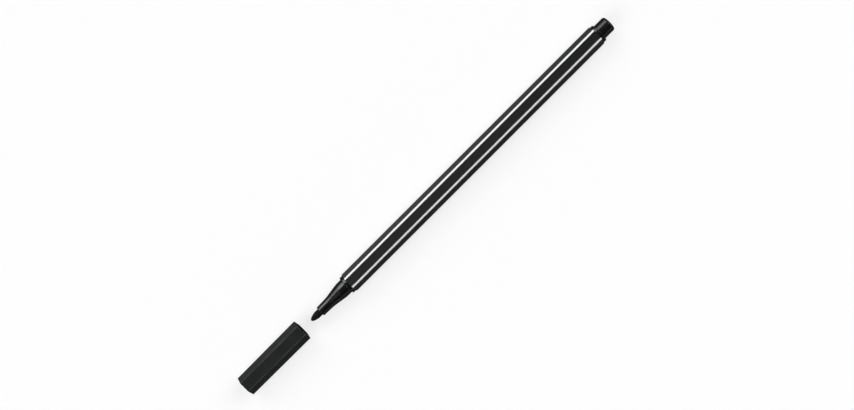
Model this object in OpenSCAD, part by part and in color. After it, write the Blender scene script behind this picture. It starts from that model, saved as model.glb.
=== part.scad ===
// Felt-tip pen with a hexagonal barrel that carries a white stripe along each edge.
// It lies on one flat of the barrel, with its cap pulled off and resting in line ahead of the nib.
// +X runs from the cap to the end plug and +Z is up. Z = 0 is the surface that the pen lies on.

/* [Barrel] */
// Length of the hexagonal tube
barrel_len = 129; // [100:0.5:150]
// Distance across opposite flats of the tube
barrel_af = 7.6; // [7:0.1:8.4]
// Wall between a flat and the bore
barrel_wall = 0.65; // [0.5:0.05:0.8]
// How far each long edge is rounded back from a sharp corner
edge_cut = 0.3; // [0.2:0.02:0.4]
// Width of the white stripe let into each edge
stripe_w = 0.8; // [0.6:0.05:1.1]
// Depth of the stripe below the rounded edge
stripe_depth = 0.2; // [0.1:0.05:0.3]

/* [Flanges] */
// Thickness of the round flange at each end of the barrel
flange_len = 1.35; // [0.8:0.05:2]
// How far a flange stays inside the flats of the barrel
flange_inset = 0.05; // [0.02:0.01:0.3]
// Rounding of the rims of a flange
flange_round = 0.2; // [0.1:0.05:0.35]

/* [Spigots] */
// Wall of the hollow spigots pressed into the barrel
spigot_wall = 0.6; // [0.45:0.05:0.8]
// Gap between a spigot and the bore, bridged by its ring beads
spigot_relief = 0.1; // [0.05:0.01:0.2]
// Width of each ring bead that grips the bore
bead_len = 1; // [0.6:0.1:1.5]

/* [Nose section] */
// Length of the straight seat that the cap slides on
seat_len = 2.6; // [1.5:0.1:4]
// Length of the taper from the seat to the neck
taper_len = 6.1; // [4:0.1:9]
// Length of the slim neck that holds the nib
neck_len = 4.9; // [3:0.1:7]
// Diameter of the neck where the taper runs into it
neck_d = 4.3; // [4:0.05:4.8]
// Diameter of the neck at its front end
neck_front_d = 4.06; // [3.8:0.02:4.2]
// Length of the hollow curve that blends neck and taper
neck_blend = 1.6; // [0.5:0.1:2.5]
// Rounding of the front rim of the neck
neck_round = 0.2; // [0.1:0.05:0.3]
// Length of the spigot behind the nose
nose_spigot_len = 9; // [6:0.5:12]
// Thickness of the ribs that centre the nib in the spigot
rib_w = 0.6; // [0.4:0.05:0.9]
// Radius of the air grooves along the nib
air_groove_r = 0.25; // [0.15:0.05:0.35]

/* [Nib] */
// Diameter of the felt rod
nib_d = 2.8; // [2.4:0.05:3]
// Length of felt that stands out of the neck
nib_out = 4.7; // [3.5:0.1:6]
// Length of the ground point
nib_point_len = 2.8; // [2:0.1:3.4]
// Length of the rod pushed into the ink reservoir
nib_insert = 6; // [3:0.5:10]
// Length of the bevel on the hidden end of the rod
nib_bevel = 0.8; // [0.4:0.1:1.1]

/* [Reservoir] */
// Gap between the reservoir and the bore of the barrel
reservoir_gap = 0.2; // [0.1:0.05:0.4]
// Thickness of the film wrapped round the fibre core
film_wall = 0.1; // [0.05:0.01:0.2]

/* [End plug] */
// Length of the spigot behind the plug
plug_spigot_len = 7; // [5:0.5:10]
// Length of the round post that the cap is parked on
post_len = 5.2; // [3:0.1:8]
// Rounding of the end of the post
post_round = 0.7; // [0.3:0.05:1]
// Thickness of the closed end of the post
post_end_wall = 1.2; // [0.8:0.1:2]

/* [Cap] */
// Length of the cap
cap_len = 29.6; // [27:0.2:36]
// Wall between a flat and the bore at the mouth
cap_wall = 0.65; // [0.5:0.05:0.75]
// Draft of the outer faces, in degrees
cap_draft = 0.27; // [0:0.01:0.5]
// How far the long edges are rounded back from a sharp corner
cap_edge_cut = 0.06; // [0.03:0.01:0.2]
// Radial clearance between the bore and what it slides on
cap_fit = 0.05; // [0.01:0.01:0.1]
// Depth of the wide part of the bore
grip_len = 8; // [5:0.5:8.5]
// Chamfer inside the mouth
mouth_chamfer = 0.25; // [0.1:0.05:0.4]
// Thickness of the closed end
cap_end_wall = 1.4; // [0.8:0.1:2]
// Diameter of the breathing hole in the closed end
vent_d = 2.4; // [1.5:0.1:3.5]
// Distance from the nib to the mouth of the pulled-off cap
cap_gap = 4.75; // [0.5:0.25:20]

/* [Cap seal] */
// Step between the wide bore and the narrow bore that holds the seal
seal_step = 0.3; // [0.2:0.05:0.4]
// How far the lip of the seal sits past the hollow curve of the neck
lip_gap = 0.3; // [0.1:0.05:0.6]
// Radial clearance of the lip round the neck
lip_fit = 0.05; // [0.01:0.01:0.1]
// Room round and ahead of the nib inside the seal
nib_room = 0.4; // [0.2:0.05:0.5]
// Thickness of the bottom of the seal
seal_bottom = 1; // [0.6:0.1:1.5]
// Radius of the air flutes along the seal
flute_r = 0.3; // [0.15:0.05:0.35]
// Height of the stop ribs behind the seal
stop_h = 0.7; // [0.4:0.05:1]
// Thickness of the stop ribs behind the seal
stop_w = 0.8; // [0.5:0.05:1.2]

/* [Hidden] */
$fn = 96;

// Extra length of a cutting tool past the face that it opens
past = 1;
sides = 6;
side_angle = 360 / sides;
rib_count = 4;
rib_angle = 360 / rib_count;

axis_z = barrel_af / 2;
bore_r = barrel_af / 2 - barrel_wall;
corner_r = barrel_af / 2 / cos(side_angle / 2);
edge_r = corner_r - edge_cut;
flange_r = barrel_af / 2 - flange_inset;

cap_bore_r = barrel_af / 2 - cap_wall;
seat_r = cap_bore_r - cap_fit;
nose_len = flange_len + seat_len + taper_len + neck_len;
neck_start = flange_len + seat_len + taper_len;
nib_r = nib_d / 2;
nib_tip = nose_len + nib_out;

film_r = bore_r - reservoir_gap;
core_r = film_r - film_wall;
reservoir_len = barrel_len - nose_spigot_len - plug_spigot_len;

spigot_bore_r = bore_r - spigot_relief - spigot_wall;

cap_mouth = nib_tip + cap_gap;
cap_corner_r = corner_r - cap_edge_cut;
cap_corner_end_r = cap_corner_r - cap_len * tan(cap_draft) / cos(side_angle / 2);
seal_r = cap_bore_r - seal_step;
seal_lip = neck_start - flange_len + neck_blend + lip_gap;
neck_slope = (neck_d - neck_front_d) / 2 / (neck_len - neck_round);
lip_bore_r = neck_d / 2 - neck_slope * neck_blend + lip_fit;
nib_room_start = nose_len - flange_len + nib_room;
nib_room_end = nib_tip - flange_len + nib_room;
seal_end = nib_room_end + seal_bottom;

pen_front = cap_mouth + cap_len;
pen_rear = barrel_len + flange_len + post_len;
mid_shift = (pen_front - pen_rear) / 2;

// Children drawn along +Z start at the distance from the front of the barrel and run to the rear
module rearward(start) {
  translate([start + mid_shift, 0, axis_z])
    rotate([0, 90, 0])
      children();
}

// Children drawn along +Z start at the distance ahead of the front of the barrel and run forward
module forward(start) {
  translate([mid_shift - start, 0, axis_z])
    rotate([0, -90, 0])
      children();
}

// Disc with both rims rounded
module round_disc(radius, thickness, rim) {
  rotate_extrude() {
    square([radius - rim, thickness]);
    translate([0, rim])
      square([radius, thickness - 2 * rim]);
    for (height = [rim, thickness - rim])
      translate([radius - rim, height])
        circle(rim);
  }
}

// Round bar with its far rim rounded
module round_end_bar(radius, length, rim) {
  rotate_extrude() {
    square([radius - rim, length]);
    square([radius, length - rim]);
    translate([radius - rim, length - rim])
      circle(rim);
  }
}

// Spigot that runs back from Z = 0, with a ring bead near each end
module spigot(length) {
  translate([0, 0, -length])
    cylinder(r = bore_r - spigot_relief, h = length);
  for (start = [-length + bead_len, -2 * bead_len])
    translate([0, 0, start])
      cylinder(r = bore_r, h = bead_len);
}

// Extruded hexagon with rounded long edges, solid
module barrel_bar() {
  intersection() {
    rotate([0, 0, side_angle / 2])
      cylinder(r = corner_r, h = barrel_len, $fn = sides);
    cylinder(r = edge_r, h = barrel_len);
  }
}

// Slot along one long edge, open on the outside
module stripe_slot(index, overrun) {
  rotate([0, 0, side_angle * (index - 0.5)])
    translate([edge_r - stripe_depth, -stripe_w / 2, -overrun])
      cube([stripe_depth + edge_cut, stripe_w, barrel_len + 2 * overrun]);
}

module barrel() {
  color("#272928")
    rearward(0)
      difference() {
        barrel_bar();
        translate([0, 0, -past])
          cylinder(r = bore_r, h = barrel_len + 2 * past);
        for (index = [1 : sides])
          stripe_slot(index, past);
      }
}

module edge_stripe(index) {
  color("#f1f1ee")
    rearward(0)
      intersection() {
        barrel_bar();
        stripe_slot(index, 0);
      }
}

// Point at share t of the curve that leaves a and reaches b along the two sides of a corner
function blend(a, corner, b, t) = (1 - t) * (1 - t) * a + 2 * t * (1 - t) * corner + t * t * b;

// Half outline of the nose ahead of the flange: seat, taper, hollow blend and neck
module nose_profile() {
  blend_steps = 6;
  corner = [neck_d / 2, neck_start];
  seat_end = [seat_r, flange_len + seat_len];
  front = [neck_front_d / 2, nose_len - neck_round];
  up_taper = corner + (seat_end - corner) * neck_blend / taper_len;
  up_neck = corner + (front - corner) * neck_blend / (neck_len - neck_round);
  difference() {
    polygon(concat(
      [[0, flange_len / 2], [seat_r, flange_len / 2], seat_end],
      [for (i = [0 : blend_steps]) blend(up_taper, corner, up_neck, i / blend_steps)],
      [front, [front[0], nose_len], [0, nose_len]]
    ));
    translate([front[0] - neck_round, front[1]])
      difference() {
        square(neck_round + past);
        circle(neck_round);
      }
  }
}

module nose_section() {
  color("#1a1c1f")
    forward(0)
      difference() {
        union() {
          spigot(nose_spigot_len);
          round_disc(flange_r, flange_len, flange_round);
          rotate_extrude()
            nose_profile();
        }
        translate([0, 0, -nose_spigot_len - past])
          cylinder(r = nib_r, h = nose_spigot_len + nose_len + 2 * past);
        translate([0, 0, -nose_spigot_len - past])
          difference() {
            cylinder(r = spigot_bore_r, h = nose_spigot_len + past);
            for (index = [1 : rib_count])
              rotate([0, 0, index * rib_angle])
                translate([0, -rib_w / 2, 0])
                  cube([spigot_bore_r, rib_w, nose_spigot_len + past]);
          }
        for (index = [1 : rib_count])
          rotate([0, 0, (index - 0.5) * rib_angle])
            translate([nib_r, 0, -past])
              cylinder(r = air_groove_r, h = nose_len + 2 * past);
      }
}

// Felt rod with a ground point: the distance from the tip grows as a power of the radius
module nib_rod() {
  point_steps = 12;
  point_power = 2.5;
  rear = -nose_spigot_len - nib_insert;
  forward(0)
    rotate_extrude()
      polygon(concat(
        [[0, rear], [nib_r - nib_bevel, rear], [nib_r, rear + nib_bevel]],
        [for (i = [point_steps : -1 : 0])
          [nib_r * i / point_steps, nib_tip - nib_point_len * pow(i / point_steps, point_power)]]
      ));
}

module nib() {
  color("#1b1b1b")
    nib_rod();
}

module reservoir_core() {
  color("#34323a")
    difference() {
      rearward(nose_spigot_len)
        cylinder(r = core_r, h = reservoir_len);
      nib_rod();
    }
}

module reservoir_film() {
  color("#b9bec4")
    rearward(nose_spigot_len)
      difference() {
        cylinder(r = film_r, h = reservoir_len);
        translate([0, 0, -past])
          cylinder(r = core_r, h = reservoir_len + 2 * past);
      }
}

module end_plug() {
  color("#1a1c1f")
    rearward(barrel_len)
      difference() {
        union() {
          spigot(plug_spigot_len);
          round_disc(flange_r, flange_len, flange_round);
          translate([0, 0, flange_len / 2])
            round_end_bar(seat_r, flange_len / 2 + post_len, post_round);
        }
        translate([0, 0, -plug_spigot_len - past])
          cylinder(r = spigot_bore_r, h = plug_spigot_len + past + flange_len + post_len - post_end_wall);
      }
}

// Hexagon with drafted faces: a slim cone trimmed by one leaning plane a side
module cap_bar() {
  difference() {
    cylinder(r1 = cap_corner_r, r2 = cap_corner_end_r, h = cap_len);
    for (index = [1 : sides])
      rotate([0, 0, index * side_angle])
        translate([barrel_af / 2, 0, 0])
          rotate([0, -cap_draft, 0])
            translate([0, -barrel_af, -past])
              cube([barrel_af, 2 * barrel_af, cap_len + 2 * past]);
  }
}

module cap_shell() {
  color("#292b2a")
    forward(cap_mouth)
      difference() {
        cap_bar();
        translate([0, 0, -past])
          cylinder(r = cap_bore_r, h = grip_len + past);
        translate([0, 0, -past])
          cylinder(r1 = cap_bore_r + mouth_chamfer + past, r2 = cap_bore_r, h = mouth_chamfer + past);
        difference() {
          cylinder(r = seal_r, h = cap_len - cap_end_wall);
          for (index = [1 : rib_count])
            rotate([0, 0, (index - 0.5) * rib_angle])
              translate([seal_r - stop_h, -stop_w / 2, seal_end])
                cube([stop_h + seal_step, stop_w, cap_len - seal_end]);
        }
        cylinder(d = vent_d, h = cap_len + past);
      }
}

module cap_seal() {
  color("#232526")
    forward(cap_mouth)
      difference() {
        translate([0, 0, seal_lip])
          cylinder(r = seal_r, h = seal_end - seal_lip);
        translate([0, 0, seal_lip - past])
          cylinder(r = lip_bore_r, h = nib_room_start - seal_lip + past);
        translate([0, 0, seal_lip])
          cylinder(r = nib_r + nib_room, h = nib_room_end - seal_lip);
        for (index = [1 : rib_count])
          rotate([0, 0, index * rib_angle])
            translate([seal_r, 0, seal_lip - past])
              cylinder(r = flute_r, h = seal_end - seal_lip + 2 * past);
      }
}

barrel();
for (index = [1 : sides])
  edge_stripe(index);
nose_section();
nib();
reservoir_core();
reservoir_film();
end_plug();
cap_shell();
cap_seal();
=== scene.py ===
import math

import bmesh
import bpy
from mathutils import Matrix, Vector, noise


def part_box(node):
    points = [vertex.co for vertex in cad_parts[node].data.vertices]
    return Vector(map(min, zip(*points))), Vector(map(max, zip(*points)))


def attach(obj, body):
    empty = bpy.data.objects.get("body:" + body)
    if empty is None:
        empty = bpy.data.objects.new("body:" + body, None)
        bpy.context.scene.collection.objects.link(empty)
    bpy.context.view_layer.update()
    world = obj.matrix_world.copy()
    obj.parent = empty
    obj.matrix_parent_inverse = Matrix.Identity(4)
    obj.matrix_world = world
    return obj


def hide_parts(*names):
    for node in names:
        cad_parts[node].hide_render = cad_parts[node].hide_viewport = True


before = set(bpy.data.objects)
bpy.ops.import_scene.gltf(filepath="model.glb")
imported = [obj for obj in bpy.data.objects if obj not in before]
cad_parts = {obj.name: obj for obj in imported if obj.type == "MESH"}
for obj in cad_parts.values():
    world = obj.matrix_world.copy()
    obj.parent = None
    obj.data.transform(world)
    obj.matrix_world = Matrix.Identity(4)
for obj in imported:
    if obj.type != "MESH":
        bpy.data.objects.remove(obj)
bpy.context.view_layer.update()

# Barrel: a black hexagonal tube of polypropylene, extruded through a die and sawn to length.
# Its long edges are rounded, each with a shallow slot that a white stripe fills. The nose section and
# the end plug are pressed into its two ends.

# The pen's sizes are in millimetres, and the scene's are in metres
MM = 0.001


def box_mm(node):
    """Lowest and highest corners of a solid, in millimetres."""
    return [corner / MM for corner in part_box(node)]


barrel_low, barrel_high = box_mm("barrel")
axis_z = (barrel_low.z + barrel_high.z) / 2
half_flats = (barrel_high.z - barrel_low.z) / 2
barrel_wall = 0.65
bore_r = half_flats - barrel_wall
edge_cut = 0.3
edge_soften = 0.07
stripe_w = 0.8
stripe_depth = 0.2
saw_rim = 0.1
SIDES = 6
# Half of the angle that one flat takes round the axis
HALF_SIDE = math.pi / SIDES
# Faces that meet at more than this angle keep a crease between them
CREASE = math.radians(40)
# Polyethylene's is nearly the same
POLYPROPYLENE_IOR = 1.49


def blend(start, corner, end, steps):
    """Points of a smooth bend that leaves start and reaches end along the two sides of a corner."""
    shares = [step / steps for step in range(steps + 1)]
    return [start * (1 - t) ** 2 + corner * (2 * t * (1 - t)) + end * t ** 2 for t in shares]


def hexagon(half, edge, flat_steps=9):
    """Points once round a hexagon. edge holds half of one long edge, from its middle to the flat."""
    flat_middle = Vector((half * math.cos(HALF_SIDE), half * math.sin(HALF_SIDE)))
    side = edge + [edge[-1].lerp(flat_middle, step / flat_steps) for step in range(1, flat_steps)]
    other = [Vector((point.x, -point.y)) for point in reversed(side) if point.y > 0]
    other.insert(0, Vector((flat_middle.x, -flat_middle.y)))
    turns = [Matrix.Rotation(index * math.tau / SIDES, 2) for index in range(SIDES)]
    return [turn @ point for turn in turns for point in other + side]


def ring(along, points):
    """A closed row of points at one place along the pen, given across it about the axis."""
    return [Vector((along, point.x, point.y + axis_z)) for point in points]


def shrink(points, amount):
    """The same points, each drawn in towards the axis by one amount."""
    return [point * (1 - amount / point.length) for point in points]


def rim_turn(radius, steps=3):
    """Places on a rounded rim, from the side to the end face: how far back from the face, and how far in."""
    angles = [math.radians(90 * step / steps) for step in range(steps + 1)]
    return [(radius * (1 - math.sin(angle)), radius * (1 - math.cos(angle))) for angle in angles]


def sawn_bar(points):
    """Rows of points for a bar of one section, from the front of the barrel to its rear, with broken rims."""
    front = [ring(barrel_low.x + back, shrink(points, inset)) for back, inset in rim_turn(saw_rim)]
    rear = [ring(barrel_high.x - back, shrink(points, inset)) for back, inset in rim_turn(saw_rim)]
    return front[::-1] + rear


def add_object(name, data):
    """A new object in the scene."""
    added = bpy.data.objects.new(name, data)
    bpy.context.scene.collection.objects.link(added)
    return added


def skin(name, rings, closed):
    """An object whose faces join each row of points to the next, and the last to the first if it is closed.

    If it isn't, its two ends are filled, unless a row of one point closes them already.
    """
    mesh = bmesh.new()
    rows = [[mesh.verts.new(point * MM) for point in row] for row in rings]
    following = rows[1:] + rows[:1] if closed else rows[1:]
    for row, after in zip(rows, following):
        count = max(len(row), len(after))
        for index in range(count):
            beside = (index + 1) % count
            corners = [row[index % len(row)], row[beside % len(row)]]
            corners += [after[beside % len(after)], after[index % len(after)]]
            mesh.faces.new(list(dict.fromkeys(corners)))
    if not closed:
        for row in (rows[0], rows[-1]):
            if len(row) > 1:
                mesh.faces.new(row)
    bmesh.ops.recalc_face_normals(mesh, faces=mesh.faces)
    data = bpy.data.meshes.new(name)
    mesh.to_mesh(data)
    mesh.free()
    data.shade_smooth()
    data.set_sharp_from_angle(angle=CREASE)
    piece = add_object(name, data)
    piece.modifiers.new("even_shading", "WEIGHTED_NORMAL").keep_sharp = True
    return piece


def linear(hex_colour):
    """Linear colour and alpha of an sRGB hex value."""
    parts = [int(hex_colour[place:place + 2], 16) / 255 for place in (1, 3, 5)]
    return [part / 12.92 if part <= 0.04045 else ((part + 0.055) / 1.055) ** 2.4 for part in parts] + [1]


def new_material(name):
    """A new material, its node tree and its shader."""
    material = bpy.data.materials.new(name)
    material.use_nodes = True
    return material, material.node_tree, material.node_tree.nodes["Principled BSDF"]


def add_node(tree, kind, settings=None, links=None):
    """A new node with its settings, by attribute or input socket, and links from other nodes' outputs."""
    node = tree.nodes.new(kind)
    for key, value in (settings or {}).items():
        if isinstance(key, str) and hasattr(node, key):
            setattr(node, key, value)
        else:
            node.inputs[key].default_value = value
    for key, output in (links or {}).items():
        tree.links.new(output, node.inputs[key])
    return node


def finish_piece(piece, body, slot, material, *nodes):
    """Dresses a piece, ties it to its body and hides the solids that it stands for. slot is not used."""
    piece.data.materials.append(material)
    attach(piece, body)
    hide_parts(*nodes)


def extruded_polypropylene(name, deep, pale, roughness, specular):
    """Satin plastic with fine die lines along the pen, which spread its shine across a flat and streak it."""
    material, tree, shader = new_material(name)
    place = add_node(tree, "ShaderNodeTexCoord").outputs["Object"]
    # Die lines about 0.3 mm apart that run on for some 80 mm, smoother and rougher by turns
    line_gap = 0.3 * MM
    line_run = 80 * MM
    lines = add_node(tree, "ShaderNodeMapping", {"Scale": (1 / line_run, 1 / line_gap, 1 / line_gap)},
                     {"Vector": place})
    streak = add_node(tree, "ShaderNodeTexNoise", {"Scale": 1, "Detail": 3},
                      {"Vector": lines.outputs["Vector"]})
    # Handling marks about 6 mm across, which dull the rougher lines
    mark_size = 6 * MM
    marks = add_node(tree, "ShaderNodeTexNoise", {"Scale": 1 / mark_size, "Detail": 4}, {"Vector": place})
    tone = add_node(tree, "ShaderNodeValToRGB", links={"Fac": streak.outputs["Fac"]})
    tone.color_ramp.elements[0].color = linear(deep)
    tone.color_ramp.elements[0].position = 0.3
    tone.color_ramp.elements[1].color = linear(pale)
    tone.color_ramp.elements[1].position = 0.7
    dulled = add_node(tree, "ShaderNodeMapRange", {"To Min": roughness + 0.05, "To Max": roughness + 0.2},
                      {"Value": marks.outputs["Fac"]})
    uneven = add_node(tree, "ShaderNodeMapRange", {
        "From Min": 0.35, "From Max": 0.65, "To Min": roughness - 0.13},
        {"Value": streak.outputs["Fac"], "To Max": dulled.outputs["Result"]})
    relief = add_node(tree, "ShaderNodeBump", {"Strength": 0.25, "Distance": 0.01 * MM},
                      {"Height": streak.outputs["Fac"]})
    around = add_node(tree, "ShaderNodeTangent", {"direction_type": "RADIAL", "axis": "X"})
    shader.inputs["Anisotropic"].default_value = 1
    shader.inputs["IOR"].default_value = POLYPROPYLENE_IOR
    shader.inputs["Specular IOR Level"].default_value = specular
    tree.links.new(tone.outputs["Color"], shader.inputs["Base Color"])
    tree.links.new(uneven.outputs["Result"], shader.inputs["Roughness"])
    tree.links.new(around.outputs["Tangent"], shader.inputs["Tangent"])
    tree.links.new(relief.outputs["Normal"], shader.inputs["Normal"])
    return material


edge_r = half_flats / math.cos(HALF_SIDE) - edge_cut
slot_floor = Vector((edge_r - stripe_depth, stripe_w / 2))
crown_turn = math.asin(stripe_w / 2 / edge_r)
slot_top = Vector((edge_r * math.cos(crown_turn), stripe_w / 2))
crown_end = HALF_SIDE - math.acos(half_flats / edge_r)
crown_corner = Vector((edge_r * math.cos(crown_end), edge_r * math.sin(crown_end)))
along_flat = Vector((-math.sin(HALF_SIDE), math.cos(HALF_SIDE)))
along_crown = Vector((math.sin(crown_end), -math.cos(crown_end)))
bend_start = crown_corner + along_crown * edge_soften
bend_end = crown_corner + along_flat * edge_soften
long_edge = [Vector((slot_floor.x, 0)), slot_floor, slot_top]
long_edge += blend(bend_start, crown_corner, bend_end, steps=4)
tube = hexagon(half_flats, long_edge)
bore = [Vector((bore_r, 0)) for _ in tube]
for index, point in enumerate(bore):
    point.rotate(Matrix.Rotation(-HALF_SIDE + index * math.tau / len(tube), 2))
barrel_rings = sawn_bar(tube) + [ring(barrel_high.x, bore), ring(barrel_low.x, bore)]
barrel = skin("barrel_tube", barrel_rings, closed=True)
black_extrusion = extruded_polypropylene("extruded_polypropylene_black", "#090a0a", "#0f1110",
                                         roughness=0.62, specular=0.53)
finish_piece(barrel, "pen", "barrel_plastic", black_extrusion, "barrel")

# Edge stripes: white polypropylene fed into the same die, so that each fills its slot and fuses with it.
# They lie flush with the rounded edges and are sawn off with the tube.
crown_steps = 6
crown = [Vector((edge_r, 0)) for _ in range(crown_steps + 1)]
for step, point in enumerate(crown):
    point.rotate(Matrix.Rotation(crown_turn * (2 * step / crown_steps - 1), 2))
stripe_section = [slot_floor, Vector((slot_floor.x, -slot_floor.y))] + crown
white_extrusion = extruded_polypropylene("extruded_polypropylene_white", "#e5e5e3", "#efefed",
                                         roughness=0.62, specular=0.5)
for number in range(1, SIDES + 1):
    node = f"edge_stripe_{number}"
    stripe_low, stripe_high = box_mm(node)
    middle = (stripe_low + stripe_high) / 2
    turn = Matrix.Rotation(math.atan2(middle.z - axis_z, middle.y), 2)
    stripe = skin(f"stripe_{number}", sawn_bar([turn @ point for point in stripe_section]), closed=False)
    finish_piece(stripe, "pen", "stripe_plastic", white_extrusion, node)

# Ink reservoir: a rod of bundled polyester fibre in a sleeve of clear film, pushed into the bore of the
# barrel and held there between the nose section and the end plug. Both stay the plain solids that they are.

# Dull inky strands along the rod, drawn 0.15 mm apart, coarser than they are, so that they show
fibre, tree, shader = new_material("bundled_polyester_fibre_inked")
strand_gap = 0.15 * MM
strand_run = 20 * MM
strands = add_node(tree, "ShaderNodeMapping", {"Scale": (1 / strand_run, 1 / strand_gap, 1 / strand_gap)},
                   {"Vector": add_node(tree, "ShaderNodeTexCoord").outputs["Object"]})
strand = add_node(tree, "ShaderNodeTexNoise", {"Scale": 1, "Detail": 2},
                  {"Vector": strands.outputs["Vector"]})
ink = add_node(tree, "ShaderNodeValToRGB", links={"Fac": strand.outputs["Fac"]})
ink.color_ramp.elements[0].color = linear("#16151a")
ink.color_ramp.elements[1].color = linear("#3c3a44")
shader.inputs["Roughness"].default_value = 0.85
tree.links.new(ink.outputs["Color"], shader.inputs["Base Color"])

# Clear glossy film, hazier by turns over wrinkles about 2 mm apart
film, tree, shader = new_material("clear_polypropylene_film")
wrinkle_gap = 2 * MM
wrinkle = add_node(tree, "ShaderNodeTexNoise", {"Scale": 1 / wrinkle_gap, "Detail": 3},
                   {"Vector": add_node(tree, "ShaderNodeTexCoord").outputs["Object"]})
haze = add_node(tree, "ShaderNodeMapRange", {"To Min": 0.1, "To Max": 0.35},
                {"Value": wrinkle.outputs["Fac"]})
shader.inputs["Base Color"].default_value = linear("#c3c7cc")
shader.inputs["Transmission Weight"].default_value = 0.8
shader.inputs["IOR"].default_value = POLYPROPYLENE_IOR
tree.links.new(haze.outputs["Result"], shader.inputs["Roughness"])

for node, material in (("reservoir_core", fibre), ("reservoir_film", film)):
    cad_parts[node].data.materials.clear()
    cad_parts[node].data.materials.append(material)

# Nose section: a glossy black injection moulding of polypropylene. Its spigot is pressed into the barrel up
# to the round flange, and ahead of that come the seat for the cap, the taper and the neck round the nib.
nose_low, nose_high = box_mm("nose_section")
flange_len = 1.35
flange_inset = 0.05
flange_r = half_flats - flange_inset
flange_rim = 0.2
flange_back_rim = 0.15
seat_r = 3.1
seat_len = 2.6
seat_root = 0.1
seat_blend = 1.0
taper_len = 6.1
neck_r = 2.15
neck_front_r = 2.03
neck_blend = 1.6
neck_rim = 0.2
nib_r = 1.4
nib_slack = 0.02
air_groove_r = 0.25
air_grooves = 4
rib_w = 0.6
rib_slack = 0.05
ribs = 4
spigot_relief = 0.1
spigot_wall = 0.6
spigot_rim = 0.2
spigot_r = bore_r - spigot_relief
spigot_bore_r = spigot_r - spigot_wall
bead_len = 1
bead_rim = 0.04
# Two radii closer than this are the same
SAME_RADIUS = 0.01
TURN_STEPS = 144


def soften(corners, steps=5):
    """Path (along, radius) through corners that each give a place, a radius and how far its bend reaches."""
    points = [Vector((along, radius)) for along, radius, _ in corners]
    path = []
    for index, point in enumerate(points):
        reach = corners[index][2]
        if reach == 0:
            path.append(point)
            continue
        before = (points[index - 1] - point).normalized() * reach
        after = (points[(index + 1) % len(points)] - point).normalized() * reach
        path += blend(point + before, point, point + after, steps)
    return path


def turned(path, radius_at=None):
    """Rows of points of a turned piece. A radius of 0 gives one point, and radius_at may vary it by angle."""
    angles = [step * math.tau / TURN_STEPS for step in range(TURN_STEPS)]
    rows = []
    for along, radius in path:
        if radius == 0:
            rows.append([Vector((along, 0, axis_z))])
            continue
        radii = [radius_at(along, radius, angle) if radius_at else radius for angle in angles]
        rows.append(ring(along, [Vector((r * math.cos(a), r * math.sin(a))) for r, a in zip(radii, angles)]))
    return rows


def moulded_plastic(name, deep, pale, roughness, specular, grain_mm, relief_mm):
    """Polypropylene or polyethylene with the mould's faint grain, and broad flow clouds in its gloss."""
    material, tree, shader = new_material(name)
    place = add_node(tree, "ShaderNodeTexCoord").outputs["Object"]
    # The grain is drawn coarser than it is, so that it shows
    grain = add_node(tree, "ShaderNodeTexNoise", {"Scale": 1 / (grain_mm * MM), "Detail": 2},
                     {"Vector": place})
    # Flow clouds about 5 mm across
    cloud_size = 5 * MM
    cloud = add_node(tree, "ShaderNodeTexNoise", {"Scale": 1 / cloud_size, "Detail": 3}, {"Vector": place})
    tone = add_node(tree, "ShaderNodeValToRGB", links={"Fac": cloud.outputs["Fac"]})
    tone.color_ramp.elements[0].color = linear(deep)
    tone.color_ramp.elements[0].position = 0.3
    tone.color_ramp.elements[1].color = linear(pale)
    tone.color_ramp.elements[1].position = 0.7
    gloss = add_node(tree, "ShaderNodeMapRange", {"To Min": roughness - 0.04, "To Max": roughness + 0.04},
                     {"Value": cloud.outputs["Fac"]})
    relief = add_node(tree, "ShaderNodeBump", {"Strength": 0.3, "Distance": relief_mm * MM},
                      {"Height": grain.outputs["Fac"]})
    shader.inputs["IOR"].default_value = POLYPROPYLENE_IOR
    shader.inputs["Specular IOR Level"].default_value = specular
    tree.links.new(tone.outputs["Color"], shader.inputs["Base Color"])
    tree.links.new(gloss.outputs["Result"], shader.inputs["Roughness"])
    tree.links.new(relief.outputs["Normal"], shader.inputs["Normal"])
    return material


def spigot_corners(face, end):
    """Corners of a spigot from the face of the barrel to its own end, with a ring bead near each end."""
    bead = math.copysign(bead_len, end - face)
    corners = [(face, spigot_r, 0)]
    for start in (face + bead, end - 2 * bead):
        corners += [(start, spigot_r, 0), (start, bore_r, bead_rim)]
        corners += [(start + bead, bore_r, bead_rim), (start + bead, spigot_r, 0)]
    return corners + [(end, spigot_r, spigot_rim)]


def ribbed(along, radius, angle):
    """Radius of the nose at an angle: ribs in its spigot centre the nib, and its bore has air grooves."""
    if abs(radius - spigot_bore_r) < SAME_RADIUS:
        step = math.tau / ribs
        aside = (angle + step / 2) % step - step / 2
        on_rib = abs(math.sin(aside)) * (nib_r + spigot_bore_r) / 2 < rib_w / 2
        return nib_r + rib_slack if on_rib else radius
    if radius > nib_r + nib_slack:
        return radius
    step = math.tau / air_grooves
    aside = angle % step - step / 2
    reach = air_groove_r ** 2 - (radius * math.sin(aside)) ** 2
    if reach <= 0:
        return radius
    return max(radius, radius * math.cos(aside) + math.sqrt(reach))


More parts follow.
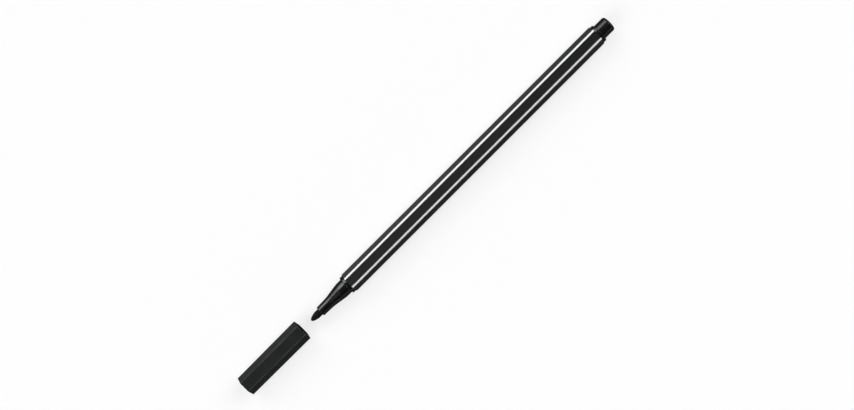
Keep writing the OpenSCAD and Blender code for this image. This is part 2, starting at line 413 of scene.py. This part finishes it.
flange_front = barrel_low.x - flange_len
seat_front = flange_front - seat_len
taper_front = seat_front - taper_len
nose_corners = [
    (nose_low.x, nib_r + nib_slack, 0),
    (nose_low.x, neck_front_r, neck_rim),
    (taper_front, neck_r, neck_blend),
    (seat_front, seat_r, seat_blend),
    (flange_front, seat_r, seat_root),
    (flange_front, flange_r, flange_rim),
    (barrel_low.x, flange_r, flange_back_rim),
    *spigot_corners(barrel_low.x, nose_high.x),
    (nose_high.x, spigot_bore_r, 0),
    (barrel_low.x, spigot_bore_r, 0),
    (barrel_low.x, nib_r + nib_slack, 0),
]
nose = skin("nose_moulding", turned(soften(nose_corners), ribbed), closed=True)
gloss_black = moulded_plastic("moulded_polypropylene_gloss", "#07080a", "#0d0e11", roughness=0.26,
                              specular=0.5, grain_mm=0.5, relief_mm=0.004)
tree = gloss_black.node_tree
shader = tree.nodes["Principled BSDF"]
# Its fine grain keeps the gloss from rising where the skin turns away from the eye
turned_away = add_node(tree, "ShaderNodeLayerWeight", {"Blend": 0.5}).outputs["Facing"]
gloss_kept = add_node(tree, "ShaderNodeMapRange", {
    "interpolation_type": "SMOOTHSTEP", "From Min": 0.14, "From Max": 0.36, "To Min": 0.7, "To Max": 0.02},
    {"Value": turned_away})
tree.links.new(gloss_kept.outputs["Result"], shader.inputs["Specular IOR Level"])
# Its sides are polished along the mould's draw, and the rims and faces across it are left as eroded, so matt
polish = shader.inputs["Roughness"].links[0].from_socket
facing = add_node(tree, "ShaderNodeSeparateXYZ", links={
    "Vector": add_node(tree, "ShaderNodeTexCoord").outputs["Normal"]})
endwise = add_node(tree, "ShaderNodeMath", {"operation": "ABSOLUTE"}, {0: facing.outputs["X"]})
matt = add_node(tree, "ShaderNodeMapRange", {
    "interpolation_type": "SMOOTHSTEP", "From Min": 0.16, "From Max": 0.3, "To Max": 0.8},
    {"Value": endwise.outputs["Value"], "To Min": polish})
tree.links.new(matt.outputs["Result"], shader.inputs["Roughness"])
finish_piece(nose, "pen", "fitting_plastic", gloss_black, "nose_section")

# Nib: a rod of pressed polyester felt, ground to a blunt point and soaked with black ink. It is pushed
# through the neck until its rear end stands in the reservoir.
nib_low, nib_high = box_mm("nib")
point_len = 2.8
point_power = 2.5
point_steps = 16
shank_row = 0.5
nib_bevel = 0.8
# Depth of the felt's fuzz, and its waves in a millimetre along the nib and across it
fuzz = 0.012
fuzz_along = 1.5
fuzz_across = 4


def felt_radius(along, radius, angle):
    """Radius of the felt at an angle, roughened by its fibres."""
    out = radius * fuzz_across
    place = Vector((along * fuzz_along, math.cos(angle) * out, math.sin(angle) * out))
    return radius + fuzz * noise.noise(place)


point_end = nib_low.x + point_len
point_shares = [step / point_steps for step in range(point_steps + 1)]
nib_path = [(nib_low.x + point_len * share ** point_power, nib_r * share) for share in point_shares]
nib_path += [(along, nib_r) for along in (point_end + shank_row, point_end + 2 * shank_row, nose_low.x)]
nib_path += [(nib_high.x - nib_bevel, nib_r), (nib_high.x, nib_r - nib_bevel), (nib_high.x, 0)]
nib = skin("felt_nib", turned(nib_path, felt_radius), closed=False)
# Matted fibres with the faint sheen of wet ink, drawn 0.12 mm thick and 0.8 mm long, coarser than they are,
# so that they show
felt, tree, shader = new_material("pressed_polyester_felt_inked")
felt_thick = 0.12 * MM
felt_long = 0.8 * MM
fibres = add_node(tree, "ShaderNodeMapping", {"Scale": (1 / felt_long, 1 / felt_thick, 1 / felt_thick)},
                  {"Vector": add_node(tree, "ShaderNodeTexCoord").outputs["Object"]})
matted = add_node(tree, "ShaderNodeTexNoise", {"Scale": 1, "Detail": 4, "Distortion": 0.6},
                  {"Vector": fibres.outputs["Vector"]})
ink = add_node(tree, "ShaderNodeValToRGB", links={"Fac": matted.outputs["Fac"]})
ink.color_ramp.elements[0].color = linear("#040404")
ink.color_ramp.elements[1].color = linear("#121212")
nap = add_node(tree, "ShaderNodeBump", {"Strength": 0.9, "Distance": 0.06 * MM},
               {"Height": matted.outputs["Fac"]})
shader.inputs["Roughness"].default_value = 0.6
shader.inputs["Specular IOR Level"].default_value = 0.1
tree.links.new(ink.outputs["Color"], shader.inputs["Base Color"])
tree.links.new(nap.outputs["Normal"], shader.inputs["Normal"])
finish_piece(nib, "pen", "nib_felt", felt, "nib")

# End plug: a glossy black moulding like the nose section, pressed into the rear of the barrel up to its
# flange. Its round post has the seat's size, so that the cap can be parked there.
plug_low, plug_high = box_mm("end_plug")
post_rim = 0.9
post_end_wall = 1.2
flange_rear = barrel_high.x + flange_len
plug_corners = [
    (plug_high.x - post_end_wall, 0, 0),
    (plug_high.x - post_end_wall, spigot_bore_r, 0),
    (plug_low.x, spigot_bore_r, 0),
    *reversed(spigot_corners(barrel_high.x, plug_low.x)),
    (barrel_high.x, flange_r, flange_back_rim),
    (flange_rear, flange_r, flange_rim),
    (flange_rear, seat_r, seat_root),
    (plug_high.x, seat_r, post_rim),
    (plug_high.x, 0, 0),
]
plug = skin("plug_moulding", turned(soften(plug_corners, steps=7)), closed=False)
finish_piece(plug, "pen", "fitting_plastic", gloss_black, "end_plug")

# Cap: a black hexagonal moulding of polypropylene with a satin skin, drafted so that it leaves its mould. Its
# bore slides on the seat of the nose section, and the closed end has a breathing hole.
cap_low, cap_high = box_mm("cap_shell")
seal_low, seal_high = box_mm("cap_seal")
cap_len = cap_high.x - cap_low.x
cap_draft = math.radians(0.27)
cap_edge_reach = 0.242
cap_edge_steps = 8
cap_mouth_rim = 0.12
cap_end_rim = 0.15
cap_bore_r = 3.15
mouth_chamfer = 0.25
grip_len = 8
seal_bore_r = 2.85
cap_end_wall = 1.4
vent_r = 1.2
vent_rim = 0.15
stop_h = 0.7
stop_w = 0.8
stop_bevel = 0.05
stops = 4
# Where the long edges' paler colour, partly rubbed wear and partly a painted highlight, starts and is full,
# as shares of a flat's distance from the axis
wear_and_highlight_start = 1.115
wear_and_highlight_full = 1.135


def cap_section(depth, inset):
    """Outline of the cap at a depth from its mouth, drawn in by an inset."""
    half = half_flats - depth * math.tan(cap_draft) - inset
    sharp = Vector((half / math.cos(HALF_SIDE), 0))
    flat_start = sharp + along_flat * cap_edge_reach
    bend = blend(Vector((flat_start.x, -flat_start.y)), sharp, flat_start, cap_edge_steps)
    return hexagon(half, bend[cap_edge_steps // 2:])


def rimmed(rim, depth, inside):
    """Outlines over a rim of the cap, from its side to an end face. inside is the way along X into it."""
    face = cap_high.x - depth
    return [ring(face + inside * back, cap_section(depth, inset)) for back, inset in rim_turn(rim)]


cap_angles = [math.atan2(point.y, point.x) for point in cap_section(0, 0)]


def cap_ring(along, radius, stopped=False):
    """A round row of points inside the cap, with the ribs that stop the seal where they are wanted."""
    points = []
    for angle in cap_angles:
        step = math.tau / stops
        aside = radius * math.sin(angle % step - step / 2)
        reduced = radius - stop_h if stopped and abs(aside) < stop_w / 2 else radius
        points.append(Vector((reduced * math.cos(angle), reduced * math.sin(angle))))
    return ring(along, points)


end_inside = cap_low.x + cap_end_wall
# The first corner only leads in to the rim of the breathing hole
vent_corners = [(cap_low.x, cap_bore_r, 0), (cap_low.x, vent_r, vent_rim), (end_inside, vent_r, 0)]
bore_path = [
    (seal_low.x, seal_bore_r),
    (cap_high.x - grip_len, seal_bore_r),
    (cap_high.x - grip_len, cap_bore_r),
    (cap_high.x - mouth_chamfer, cap_bore_r),
    (cap_high.x, cap_bore_r + mouth_chamfer),
]
cap_rings = rimmed(cap_mouth_rim, 0, inside=-1)[::-1] + rimmed(cap_end_rim, cap_len, inside=1)
cap_rings += [cap_ring(along, radius) for along, radius in soften(vent_corners)[1:]]
cap_rings += [cap_ring(along, seal_bore_r, stopped=True) for along in (end_inside, seal_low.x - stop_bevel)]
cap_rings += [cap_ring(along, radius) for along, radius in bore_path]
cap = skin("cap_moulding", cap_rings, closed=True)
satin_black = moulded_plastic("moulded_polypropylene_satin", "#191b1a", "#202221", roughness=0.6,
                              specular=0.19, grain_mm=0.3, relief_mm=0.006)
tree = satin_black.node_tree
shader = tree.nodes["Principled BSDF"]
# Its mould was polished along the draw, which spreads the shine across each flat
around = add_node(tree, "ShaderNodeTangent", {"direction_type": "RADIAL", "axis": "X"})
shader.inputs["Anisotropic"].default_value = 1
tree.links.new(around.outputs["Tangent"], shader.inputs["Tangent"])
# Its long edges are paler, in patches about 4 mm long: partly rubbed wear, partly a painted highlight along
# the rounded edges
patch_len = 4 * MM
patches = add_node(tree, "ShaderNodeTexNoise", {"Scale": 1 / patch_len, "Detail": 3},
                   {"Vector": add_node(tree, "ShaderNodeTexCoord").outputs["Object"]})
amount = add_node(tree, "ShaderNodeMapRange", {"From Min": 0.2, "From Max": 0.7}, {
    "Value": patches.outputs["Fac"],
    "To Max": add_node(tree, "ShaderNodeAttribute", {"attribute_name": "worn_and_highlit"}).outputs["Fac"]})
# A mix of colours takes its share at input 0 and the two colours at 6 and 7, and gives the third output
wear_and_highlight_mix = add_node(tree, "ShaderNodeMix", {"data_type": "RGBA", 7: linear("#464847")}, {
    0: amount.outputs["Result"], 6: shader.inputs["Base Color"].links[0].from_socket})
tree.links.new(wear_and_highlight_mix.outputs[2], shader.inputs["Base Color"])
# Each point's share of the paler colour grows towards the long edges; it is part wear and part painted
# highlight
worn_and_highlit = cap.data.attributes.new("worn_and_highlit", "FLOAT", "POINT")
for vertex, share in zip(cap.data.vertices, worn_and_highlit.data):
    place = vertex.co / MM
    flats = half_flats - (cap_high.x - place.x) * math.tan(cap_draft)
    out = math.hypot(place.y, place.z - axis_z) / flats
    share.value = max(0, min(1, (out - wear_and_highlight_start) / (wear_and_highlight_full - wear_and_highlight_start)))
finish_piece(cap, "cap", "cap_plastic", satin_black, "cap_shell")

# Cap seal: a soft cup of black polyethylene pressed into the cap against the stop ribs. Its lip closes round
# the neck, and flutes along its outside let air past to the breathing hole.
lip_r = 2.16
lip_rim = 0.15
nib_room = 0.4
nib_room_r = nib_r + nib_room
nib_room_depth = 3.4
seal_bottom = 1.0
flute_r = 0.3
flutes = 4


def fluted(along, radius, angle):
    """Radius of the seal at an angle, drawn in where an air flute runs along its outside."""
    if radius < seal_bore_r - SAME_RADIUS:
        return radius
    step = math.tau / flutes
    aside = (angle + step / 2) % step - step / 2
    reach = flute_r ** 2 - (radius * math.sin(aside)) ** 2
    if reach <= 0:
        return radius
    return radius * math.cos(aside) - math.sqrt(reach)


seal_corners = [
    (seal_low.x + seal_bottom, 0, 0),
    (seal_low.x + seal_bottom, nib_room_r, 0),
    (seal_high.x - nib_room_depth, nib_room_r, 0),
    (seal_high.x - nib_room_depth, lip_r, 0),
    (seal_high.x, lip_r, lip_rim),
    (seal_high.x, seal_bore_r, 0),
    (seal_low.x, seal_bore_r, 0),
    (seal_low.x, 0, 0),
]
seal = skin("seal_cup", turned(soften(seal_corners), fluted), closed=False)
# A dull, waxy black, as soft polyethylene has
soft_black = moulded_plastic("moulded_polyethylene_soft", "#191b1c", "#212324", roughness=0.55,
                             specular=0.3, grain_mm=0.4, relief_mm=0.005)
finish_piece(seal, "cap", "seal_plastic", soft_black, "cap_seal")

# Floor: a wide sheet of plain white board that the pen and its cap lie on. Far round them it turns up into a
# low wall, so that a low view ends in white too. Its sizes are in metres.
floor_half = 3.0
wall_r = 2.8
wall_h = 0.62
wall_steps = 96
stage_points = [(x * floor_half, y * floor_half, 0) for x, y in ((-1, -1), (1, -1), (1, 1), (-1, 1))]
stage_faces = [(0, 1, 2, 3)]
first_foot = len(stage_points)
for step in range(wall_steps):
    angle = step * math.tau / wall_steps
    stage_points += [(wall_r * math.cos(angle), wall_r * math.sin(angle), height) for height in (0, wall_h)]
    foot = first_foot + 2 * step
    next_foot = first_foot + 2 * ((step + 1) % wall_steps)
    stage_faces.append((foot, next_foot, next_foot + 1, foot + 1))
stage_mesh = bpy.data.meshes.new("white_board")
stage_mesh.from_pydata(stage_points, [], stage_faces)
floor = add_object("white_board", stage_mesh)
board, tree, shader = new_material("matt_white_board")
shader.inputs["Base Color"].default_value = linear("#f9f9f9")
shader.inputs["Roughness"].default_value = 1
shader.inputs["Specular IOR Level"].default_value = 0
# To the eye, also by way of a reflection, 0.7 of the board's look is plain white, which leaves the pen's
# shadow faint. From 0.5 m away that share grows, and from 2 m away all of it is plain white.
ray = add_node(tree, "ShaderNodeLightPath")
mirrored = add_node(tree, "ShaderNodeMath", {"operation": "MAXIMUM"},
                    {0: ray.outputs["Is Glossy Ray"], 1: ray.outputs["Is Transmission Ray"]})
seen = add_node(tree, "ShaderNodeMath", {"operation": "MAXIMUM"},
                {0: ray.outputs["Is Camera Ray"], 1: mirrored.outputs["Value"]})
away = add_node(tree, "ShaderNodeVectorMath", {"operation": "LENGTH"},
                {0: add_node(tree, "ShaderNodeTexCoord").outputs["Object"]})
whitened = add_node(tree, "ShaderNodeMapRange", {"From Min": 0.5, "From Max": 2, "To Min": 0.7, "To Max": 1},
                    {"Value": away.outputs["Value"]})
plain = add_node(tree, "ShaderNodeMath", {"operation": "MULTIPLY"},
                 {0: seen.outputs["Value"], 1: whitened.outputs["Result"]})
white = add_node(tree, "ShaderNodeEmission", {"Strength": 1})
mixed = add_node(tree, "ShaderNodeMixShader", links={
    0: plain.outputs["Value"], 1: shader.outputs["BSDF"], 2: white.outputs["Emission"]})
tree.links.new(mixed.outputs["Shader"], tree.nodes["Material Output"].inputs["Surface"])
stage_mesh.materials.append(board)

# Light: a dark room with a broad soft lamp beyond each end of the pen, which keep its shadow faint, and a
# third low on its left, whose image is the bright line along the glossy mouldings.
world = bpy.data.worlds.new("dark_room")
world.use_nodes = True
bpy.context.scene.world = world
world.node_tree.nodes["Background"].inputs["Color"].default_value = linear("#ffffff")
world.node_tree.nodes["Background"].inputs["Strength"].default_value = 0.01
# Azimuth from +X, elevation and apparent width in degrees, then the strength
for name, azimuth, elevation, width, strength in (
    ("lamp_before_the_cap", 180, 34, 48, 2.09),
    ("lamp_behind_the_plug", 0, 38, 48, 1.67),
    ("lamp_on_the_left", 95.5, 36, 38, 1.46),
):
    lamp = bpy.data.lights.new(name, "SUN")
    lamp.angle = math.radians(width)
    lamp.energy = strength
    holder = add_object(name, lamp)
    holder.rotation_euler = (math.radians(90 - elevation), 0, math.radians(azimuth + 90))

# Camera: above the pen and less than a degree to its right, turned so that the pen runs up to the right at
# 45 degrees. Its lens and its height over the pen's axis fit the pen's length in the picture.
camera_h = 502
camera_x = -0.164
lean = math.radians(0.7)
camera_turn = math.radians(-45)
camera_data = bpy.data.cameras.new("camera")
camera_data.sensor_width = 36
camera_data.lens = 57.39
camera_data.clip_start = 0.01
camera = add_object("camera", camera_data)
camera.location = Vector((camera_x, -math.sin(lean) * camera_h, axis_z + math.cos(lean) * camera_h)) * MM
camera.rotation_mode = "ZYX"
camera.rotation_euler = (lean, 0, camera_turn)
bpy.context.scene.camera = camera
bpy.context.scene.view_settings.view_transform = "Standard"
